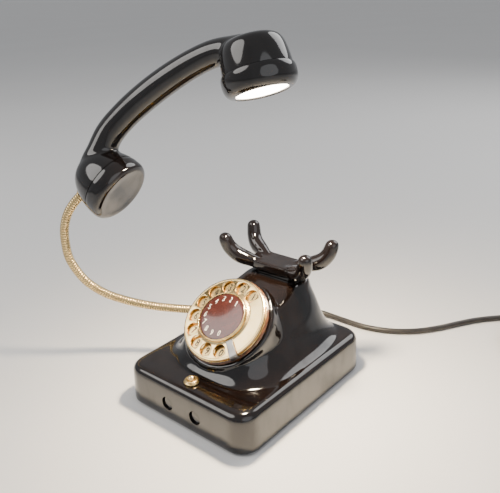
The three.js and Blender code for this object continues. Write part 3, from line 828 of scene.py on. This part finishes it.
def finger_wheel():
    profile = [
        (4, 5.2), (21, 5.0), (25.4, 3.1), (39.4, 2.6), (41.0, 3.0, 0.5), (41.2, 4.0, 0.6), (39.6, 4.5, 0.6),
        (38.9, 4.3, 0.4), (27, 4.4, 1.2), (23, 6.1, 1.5), (4, 6.5), (4, 5.2)]
    wheel = turned("wheel", profile, sides=192)
    holes = linked("cutters", bpy.data.meshes.new("cutters"))
    CUTTER_TREE.use(holes, {
        "Count": HOLES, "Ring Radius": HOLE_RING * MM, "Cutter Radius": HOLE_RADIUS * MM,
        "First Angle": FIRST_HOLE, "Step Angle": HOLE_STEP, "Material": polished_brass})
    bevelled(carved(wheel, holes), 0.45, 50)
    wheel.data.transform(DIAL_PLACE)
    return dress(wheel, polished_brass, "dial_wheel", "polished_brass", "finger_wheel", crease=40)


wheel = finger_wheel()
print("finger wheel", len(wheel.data.polygons), "faces")

# %% Middle of the dial
disc = turned("middle_disc", [(0, 7.2), (22.5, 7.2), (22.5, 8.1, 0.5), (20, 8.5, 4), (0, 8.9)], DIAL_PLACE, 128)
dress(disc, disc_brown, "dial_wheel", "disc_brown", "centre_disc")
ring = turned("disc_ring",
    [(22.9, 7), (24.5, 6.5), (24.6, 7.6, 0.6), (23.7, 9.0, 0.5), (22.9, 8.9, 0.3), (22.9, 7)], DIAL_PLACE, 128)
dress(ring, brass, "dial_wheel", "brass", "retaining_ring")


# %% Figures
FIGURE_SQUEEZE, PAINT = 0.74, 0.03  # width against height, and thickness in millimetres


def figures(name, radius, height, size, material, body, slot):
    """The figures 1 to 9 and 0 standing upright round the dial, thin as paint."""
    made = []
    for i in range(HOLES):
        text = bpy.data.curves.new("figure", "FONT")
        text.body, text.size = str((i + 1) % HOLES), size * MM
        text.align_x, text.align_y, text.extrude = "CENTER", "CENTER", PAINT * MM
        text.resolution_u = 4
        glyph = linked("figure", text)
        mesh = evaluated(glyph)
        bpy.data.objects.remove(glyph)
        a = FIRST_HOLE + i * HOLE_STEP
        spot = at(radius * math.cos(a), radius * math.sin(a), height)
        mesh.transform(DIAL_PLACE @ spot @ Matrix.Diagonal((FIGURE_SQUEEZE, 1, 1, 1)))
        made.append(bpy.data.objects.new("figure", mesh))
    return dress(one_object(name, *made), material, body, slot)


figures("figures_white", 17.2, 8.72, 7.4, figure_white, "dial_wheel", "disc_brown")
figures("figures_black", 32.6, 1.14, 10, figure_black, "base", "brass")


# %% Finger stop
def finger_stop():
    """A strip that comes up over the wheel's rim and reaches in over the figures' ring."""
    line = [(42.9, 0.5), (42.9, 4.4), (42.2, 5.8), (40, 6.1), (32, 6.0), (25.6, 6.2)]
    path = through([(x, 0, z) for x, z in line], 40)
    rings = []
    for i, (x, _, z) in enumerate(path):
        before, after = path[max(0, i - 1)], path[min(len(path) - 1, i + 1)]
        along = Vector((after[0] - before[0], 0, after[2] - before[2])).normalized()
        up = Vector((-along.z, 0, along.x)) * -0.55
        share = i / (len(path) - 1)
        half = 3.7 - 0.5 * eased(share) - (1.2 if share > 0.985 else 0)
        corners = [(-half, 1), (half, 1), (half, -1), (-half, -1)]
        rings.append([(x + up.x * v, y, z + up.z * v) for y, v in corners])
    strip = lofted("stop_strip", rings, DIAL_PLACE @ turned_by(-42.5, "Z"))
    bevelled(strip, 0.25, 50)
    return dress(strip, steel, "base", "steel", "finger_stop")


finger_stop()

# %% [markdown]
# ## Push button
# The lamp's switch is a small brass push button in the plinth, in front of the dial: a shouldered
# collar with a domed plunger.

# %% Push button
collar = turned("button_ring", [
    (3.7, -5), (5, -5), (5, 0.25), (7, 0.25, 0.3), (7, 1.6, 0.6), (6.2, 2.2, 0.4), (5.8, 3.2, 0.6),
    (4.2, 3.4, 0.4), (3.7, 3.0), (3.7, -5)],
    BUTTON_PLACE, 72)
dress(collar, brass, "base", "brass", "button_collar")
plunger = turned("button_dome", [
    (0, -9), (2.2, -9), (2.2, -4), (3.3, -4), (3.3, 4.6, 1.2), (2.4, 6.1, 1.4), (1, 6.7, 0.8), (0, 6.75)],
    BUTTON_PLACE, 64)
dress(plunger, polished_brass, "push_button", "polished_brass", "button_plunger")

# %% [markdown]
# ## Handset
# The grip is a curved bar of oval section that swells into a bowl at each end. Both bowls are
# closed by a screwed cap: the lower one a plain disc, the upper one cut open for the lamp. As with
# the housing, the grip and bowls are melted into one skin before they are hollowed. The bowls are
# drawn too long and cut level afterwards, so that melting does not round their rims.

# %% The handset's shell
HANDSET_PLACE = at(-36.6, -23.1, 234.2) @ turned_by(27.65, "Z") @ turned_by(-34.4, "Y") @ turned_by(-17, "X")
EAR_PLACE = HANDSET_PLACE @ at(79.5, 0, 0) @ turned_by(18, "Y")
MOUTH_PLACE = HANDSET_PLACE @ at(-79.5, 0, 0) @ turned_by(-22, "Y")
NECK_ENTRY = HANDSET_PLACE @ aimed((-113.5, 0, 25.5), (-0.91, 0, -0.41))
GRIP = [  # along, height of the middle, half height, half width
    (-99, 26, 10, 17), (-90, 36.5, 12.5, 18), (-77, 44, 12.8, 15), (-62, 52, 13.2, 12.2), (-40, 56.6, 13, 11.4),
    (-12, 58.4, 13, 11.8), (18, 57.6, 12.6, 11.8), (44, 54.6, 12, 11.4), (62, 50, 11.8, 12),
    (76, 43, 11.8, 13.5), (88, 35.5, 12.3, 15), (98, 26, 10, 14.5),
]
EAR_RIM, MOUTH_RIM = 18.3, 16.3
EAR_BOWL = [(0, 6), (29.9, 6), (29.5, 19.6), (28.8, 27, 4), (27.2, 36, 4), (23.6, 43.3, 5), (14, 45.4),
    (0, 45.8)]
MOUTH_BOWL = [(0, 4), (31, 4), (30.4, 17.6), (28.4, 25, 4), (25, 34, 6), (20, 41.6, 6), (13, 46.4), (0, 48)]


def grip(grow):
    rows = through(GRIP, 56)
    rings = []
    for i, (x, z, hz, hy) in enumerate(rows):
        before, after = rows[max(0, i - 1)], rows[min(len(rows) - 1, i + 1)]
        along = Vector((after[0] - before[0], after[1] - before[1])).normalized()
        ring = []
        for a in np.linspace(0, 2 * math.pi, 48, endpoint=False):
            up = math.cos(a) * (hz + grow)
            ring.append((x - along.y * up, -math.sin(a) * (hy + grow), z + along.x * up))
        rings.append(ring)
    return lofted("grip", rings, HANDSET_PLACE)


def handset_shell():
    bowls = [turned("ear_bowl", EAR_BOWL, EAR_PLACE), turned("mouth_bowl", MOUTH_BOWL, MOUTH_PLACE)]
    outside = melted(one_object("handset_moulding", grip(0), *bowls), 0.85, 70)
    for rim, place in ((EAR_RIM, EAR_PLACE), (MOUTH_RIM, MOUTH_PLACE)):
        carved(outside, drum("below_rim", 46, -30, rim, place))
    hollows = [
        turned("ear_hollow", [(0, 17), (25.4, 17), (25.4, 26), (22.8, 32), (17, 37.4), (8, 41.4), (0, 42.6)],
        EAR_PLACE),
        turned("mouth_hollow", [(0, 15), (25.4, 15), (25.2, 24), (22, 32), (16.6, 38), (9, 42), (0, 43.4)],
        MOUTH_PLACE),
        grip(-5.2),
        drum("entry", 4.6, -14, 14, NECK_ENTRY, 48),
    ]
    for hollow in hollows:
        carved(outside, hollow)
    return dress(outside, bakelite, "handset", "bakelite", "handset_shell", crease=50)


handset = handset_shell()
print("handset", len(handset.data.polygons), "faces")

# %% The caps
ear_cap = turned("ear_ring", [
    (22.1, 3), (22.1, 0.3, 0.4), (23.6, -0.3, 1), (27.4, 0.8, 2), (30.2, 4, 3), (31.5, 8.6, 3), (31.5, 14, 1.5),
    (30.9, 16.6, 0.8), (30.2, 18, 0.5), (27.4, 18), (27.4, 5.4), (24.4, 3), (22.1, 3)], EAR_PLACE, 128)
dress(ear_cap, bakelite, "handset", "bakelite", "earpiece_cap")

mouth_ring = turned("mouth_ring", [
    (0, 0.6), (19, 0.5, 6), (23.6, 0.1, 2), (26.4, 0, 1), (29.6, 2, 2), (31, 5.4, 2), (31, 12.6, 1.2),
    (30.2, 16, 0.6), (27.4, 16), (27.4, 3.4), (0, 3.4)], MOUTH_PLACE, 128)
dress(mouth_ring, bakelite, "handset", "bakelite", "mouthpiece_cap")

# %% The lamp in the earpiece
glass_disc = turned("lens_disc",
    [(0, 0.7), (14, 0.9, 4), (21.7, 1.3, 0.3), (21.7, 3.3), (24, 3.3), (24, 5), (0, 5)], EAR_PLACE, 96)
dress(glass_disc, lens, "handset", "lens", "lamp_lens")

# %% [markdown]
# ## Flexible neck
# The neck is a brass hose wound from strip, so it is a row of narrow rounded ribs that follow one
# path. Geometry Nodes suit it well: the path is resampled, each sample gets a radius from a wave
# along its length, and a circle is swept through them. The wave is kept as an attribute, so that
# the finish can paint shade dark in the grooves. The neck bends at three places in the mechanism,
# so it is three pieces.

# %% The neck's path
NECK_ROUTE = [
    (-61.6, -2, 60), (-66, -3.5, 59.4), (-74, -7, 58.6), (-87, -14, 58.8), (-99, -22, 60), (-116, -36, 65),
    (-127, -47, 71), (-137, -58, 79), (-147, -69, 92), (-152, -75, 104), (-156, -80, 120), (-157, -81, 134),
    (-155, -81, 151), (-151, -78, 165.5), (-145, -73.9, 176), (-137.9, -68.7, 184.9),
]
NECK_RADIUS, RIB_DEPTH, RIB_PITCH = 4.3, 0.55, 2.6
NECK_SAMPLES = 600
neck_path = through(NECK_ROUTE, NECK_SAMPLES)
neck_length = float(step_lengths(neck_path).sum())
print("neck", round(neck_length, 1), "mm long")


# %% The tree that winds a ribbed hose
SAMPLES_PER_RIB, HOSE_SIDES = 9, 22
RIB_FLATNESS = 0.6  # exponent of the wave; a lower one makes flatter ribs and narrower grooves


def hose_tree():
    wound = Tree("ribbed hose", ("Geometry", "Geometry"), ("Radius", "Float"), ("Depth", "Float"),
        ("Pitch", "Float"), ("Start", "Float"), ("Material", "Material"))
    line = wound.add("GeometryNodeMeshToCurve", {"Mesh": wound.given["Geometry"]})
    spacing = RIB_PITCH * MM / SAMPLES_PER_RIB
    fine = wound.add("GeometryNodeResampleCurve", {"Curve": line, "Length": spacing}, mode="LENGTH")
    run = wound.sum_of("ADD", wound.add("GeometryNodeSplineParameter", {}, out=1), wound.given["Start"])
    turns = wound.sum_of("MULTIPLY", wound.sum_of("DIVIDE", run, wound.given["Pitch"]), math.pi)
    crest = wound.sum_of("POWER", wound.sum_of("ABSOLUTE", wound.sum_of("COSINE", turns)), RIB_FLATNESS)
    groove = wound.sum_of("SUBTRACT", 1.0, crest)
    kept_wave = {"Geometry": fine, "Name": "groove", "Value": groove}
    marked = wound.add("GeometryNodeStoreNamedAttribute", kept_wave, data_type="FLOAT", domain="POINT")
    sunk = wound.sum_of("MULTIPLY", groove, wound.given["Depth"])
    radius = wound.sum_of("SUBTRACT", wound.given["Radius"], sunk)
    circle = wound.add("GeometryNodeCurvePrimitiveCircle", {"Resolution": HOSE_SIDES, "Radius": 1.0})
    sizes = {"Curve": marked, "Profile Curve": circle, "Scale": radius, "Fill Caps": True}
    wound.close(wound.add("GeometryNodeCurveToMesh", sizes))
    return wound


HOSE_TREE = hose_tree()


# %% The neck's three pieces
def hose(name, first, last, *nodes):
    """The stretch of the neck between two shares of its length."""
    low, high = (round(share * (NECK_SAMPLES - 1)) for share in (first, last))
    line = neck_path[low : high + 1] * MM
    mesh = bpy.data.meshes.new(name)
    mesh.from_pydata([tuple(p) for p in line], [(i, i + 1) for i in range(len(line) - 1)], [])
    made = linked(name, mesh)
    HOSE_TREE.use(made, {
        "Radius": NECK_RADIUS * MM, "Depth": RIB_DEPTH * MM, "Pitch": RIB_PITCH * MM,
        "Start": low / (NECK_SAMPLES - 1) * neck_length * MM, "Material": neck_brass})
    made.data.shade_smooth()
    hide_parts(*nodes)
    return made


def bend_at(piece, share):
    """Works the piece's placement into its mesh; the path's direction at the joint is found but not used."""
    here = round(share * (NECK_SAMPLES - 1))
    way = neck_path[here + 2] - neck_path[here - 2]
    way /= np.linalg.norm(way)
    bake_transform(piece)


lower_hose = hose("neck_hose_lower", 0, 0.29, "neck_tube_1")
middle_hose = hose("neck_hose_middle", 0.29, 0.67, "neck_tube_2", "neck_tube_3")
upper_hose = hose("neck_hose_upper", 0.67, 1, "neck_tube_4")
bend_at(lower_hose, 0.1)
bend_at(middle_hose, 0.48)
bend_at(upper_hose, 0.84)
print("neck", sum(len(o.data.polygons) for o in (lower_hose, middle_hose, upper_hose)), "faces")

# %% Its two fittings
seat = turned("neck_seat", [
    (0, -12), (4.9, -12), (4.9, 0.25), (8.4, 0.25, 0.4), (8.4, 2.2, 0.5), (7.6, 2.8, 0.3), (7.6, 3.6, 0.5),
    (6.3, 4.6, 0.5), (5.7, 7.4, 0.4), (4.9, 7.4, 0.2), (4.9, 6.6), (0, 6.6)], aimed(NECK_SEAT, NECK_WAY), 64)
dress(seat, brass, "base", "brass", "neck_base_fitting")
top = turned("neck_ferrule",
    [(0, -9), (4.3, -9), (4.3, 1), (5.3, 1.6, 0.3), (5.3, 4.4, 0.5), (4.7, 5.2, 0.3), (0, 5.2)], NECK_ENTRY, 64)
dress(top, brass, "handset", "brass", "neck_top_fitting")

# %% [markdown]
# ## What is on the lead
# A tapered sleeve keeps the lead from kinking where it leaves the plinth, a strap holds the coil
# together, and a flat plug with two round pins ends it.

# %% Sleeve and strap
STRAP_HEIGHT = 6.6


def sleeve():
    profile = [(0, -7), (7, -7), (7, -4.9), (4.9, -4.9), (4.9, -0.15), (7, -0.15, 0.4), (7, 2.4, 0.6),
        (5.6, 3.2, 0.4)]
    for k in range(7):
        z = 5 + 3.3 * k
        r = 5.5 - 0.21 * k
        profile += [(r, z, 0.3), (r - 0.7, z + 0.4, 0.2), (r - 0.75, z + 1.3, 0.2), (r - 0.1, z + 1.7, 0.3)]
    profile += [(3.95, 29.2, 0.4), (0, 29.4)]
    return dress(turned("lead_sleeve", profile, aimed(LEAD_EXIT, LEAD_WAY), 64), rubber, "base", "rubber",
        "strain_relief")


def strap():
    """A flat band round the turns, as a cut-through box with rounded corners."""
    spot = at(COIL_CENTRE[0] - (COIL_OUTER + COIL_INNER) / 2, COIL_CENTRE[1], STRAP_HEIGHT)
    middle = spot @ turned_by(90, "X")
    half = (COIL_OUTER - COIL_INNER) / 2 + LEAD_RADIUS
    outer = slab("band", rounded_rectangle(half + 1.2, 6.55, 3.4), -3, 3, middle)
    inner = slab("space", rounded_rectangle(half + 0.5, 5.85, 2.9), -5, 5, middle)
    band = bevelled(carved(outer, inner), 0.15, 60)
    return dress(band, rubber, "base", "rubber", "coil_tie")


sleeve()
strap()

# %% Plug
PLUG_PLACE = at(272.4, 196, 6.9) @ turned_by(-90, "Z") @ turned_by(90, "Y")


def plug():
    rows = [(-22, 4.1, 3.8), (-17, 4.5, 4.2), (-12, 5.2, 4.6), (-7, 7.2, 5.4), (-3, 10, 6.2), (2, 12.4, 6.7),
        (8, 12.8, 6.8), (15.4, 12.7, 6.8), (17, 12.5, 6.4), (17.8, 11.4, 5.4)]
    rings = []
    for x, hy, hz in through(rows, 60):
        waist = 0.35 if 9.2 < x < 10.2 else 0
        rings.append([(u, v, x) for u, v in superellipse(hz - waist, hy - waist, 3.2, 56)])
    body = lofted("plug_moulding", rings, PLUG_PLACE)
    dress(body, rubber, "base", "rubber", "plug_body", crease=45)
    pins = []
    for k, y in enumerate((-9.2, 9.2)):
        pin = turned("plug_pin_round_" + str(k + 1),
            [(0, 0), (2.3, 0), (2.3, 17, 0.8), (1.4, 18.5, 0.8), (0, 18.6)], PLUG_PLACE @ at(0, y, 18.2), 32)
        pins.append(dress(pin, brass, "base", "brass", "plug_pin_" + str(k + 1)))
    return [body, *pins]


plug_pieces = plug()

# %% [markdown]
# ## Inside and underneath
# The pieces that the shells hide keep their CAD shapes, and only get the finish they are made of.
# The felt pad is the one soft surface, so it is made again with softened edges.

# %% Felt pad
def felt_pad():
    pad = slab("felt_sheet", rounded_rectangle(67, 85.5, 12), 0.02, 1.8)
    for sx in (-1, 1):
        for sy in (-1, 1):
            carved(pad, drum("pad_hole", 4.2, -1, 3, at(sx * 58, sy * 76, 0), 32))
    return dress(bevelled(pad, 0.4, 50), felt, "base", "felt", "base_pad")


felt_pad()

# %% Finishes of the CAD pieces that stay
KEPT = {
    steel: ["base_plate", "ballast_weight", "dial_back_plate", "dial_spindle", "cradle_pin_left",
        "cradle_pin_right", "pin_bracket", "reflector", *[f"base_screw_{i}" for i in range(1, 5)]],
    spring_steel: ["button_spring", "return_spring", "cradle_spring_left", "cradle_spring_right"],
    brass: ["button_nut", "main_gear", "governor_pinion", *[f"dial_pillar_{i}" for i in range(1, 4)]],
    insulating_board: ["terminal_block", "button_switch", "pulse_springs", "hook_switch", "lamp_holder"],
    bulb_glass: ["lamp_bulb"],
    cable: ["handset_wire"],
}
for finish, names in KEPT.items():
    for name in names:
        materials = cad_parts[name].data.materials
        materials.clear()
        materials.append(finish)
finished = sum(KEPT.values(), [])
left_plain = [name for name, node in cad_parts.items()
    if not node.hide_render and name not in finished]
print("CAD pieces without a finish:", left_plain)

# %% [markdown]
# ## Room and light
# A pale plain floor and large soft lamps, as in a product studio. Black gloss shows nothing but
# reflections, so the lamps are placed for the long soft highlights that they draw on the grip, the
# horns and the plinth's rolled edge. One more small light sits in the earpiece, where the real
# lamp is, and brightens the dial.

# %% Floor
FLOOR_HALF = 60000  # millimetres, so that its edge is too far off to see


def studio_floor():
    finish = Finish("floor", Roughness=0.6)
    finish.set(Base_Color=finish.blend(finish.noise(0.5, 2), (0.74, 0.73, 0.72), (0.78, 0.77, 0.76)))
    corners = [(sx * FLOOR_HALF, sy * FLOOR_HALF, 0) for sx, sy in ((-1, -1), (1, -1), (1, 1), (-1, 1))]
    floor = mesh_object("floor", corners, [(0, 1, 2, 3)])
    floor.data.materials.append(finish.material)


studio_floor()


# %% Lamps
def soft_lamp(name, place, target, size, power, colour=(1, 1, 1)):
    light = bpy.data.lights.new(name, "AREA")
    light.shape, light.size, light.energy, light.color = "DISK", size, power, colour
    lamp = linked(name, light)
    way = Vector(target) - Vector(place)
    lamp.matrix_world = Matrix.Translation(place) @ way.to_track_quat("-Z", "Y").to_matrix().to_4x4()
    return lamp


soft_lamp("key", (-0.9, -1.2, 1.5), (0, 0, 0.1), 1.5, 24, (1, 0.97, 0.93))
soft_lamp("fill", (1.6, -0.5, 0.9), (0, 0, 0.1), 1.8, 8, (0.95, 0.97, 1))
soft_lamp("rim", (0.3, 1.5, 1.3), (0, 0, 0.15), 1.3, 16)
ear_light = soft_lamp("earpiece lamp", (0, 0, 0), (0, 0, -1), 0.042, 3.4, (1, 0.82, 0.58))
ear_light.matrix_world = EAR_PLACE @ at(0, 0, -1.5)

world = scene.world = bpy.data.worlds.new("room")
world.use_nodes = True
sky = world.node_tree.nodes["Background"].inputs
sky["Color"].default_value = (0.85, 0.87, 0.9, 1)
sky["Strength"].default_value = 0.5
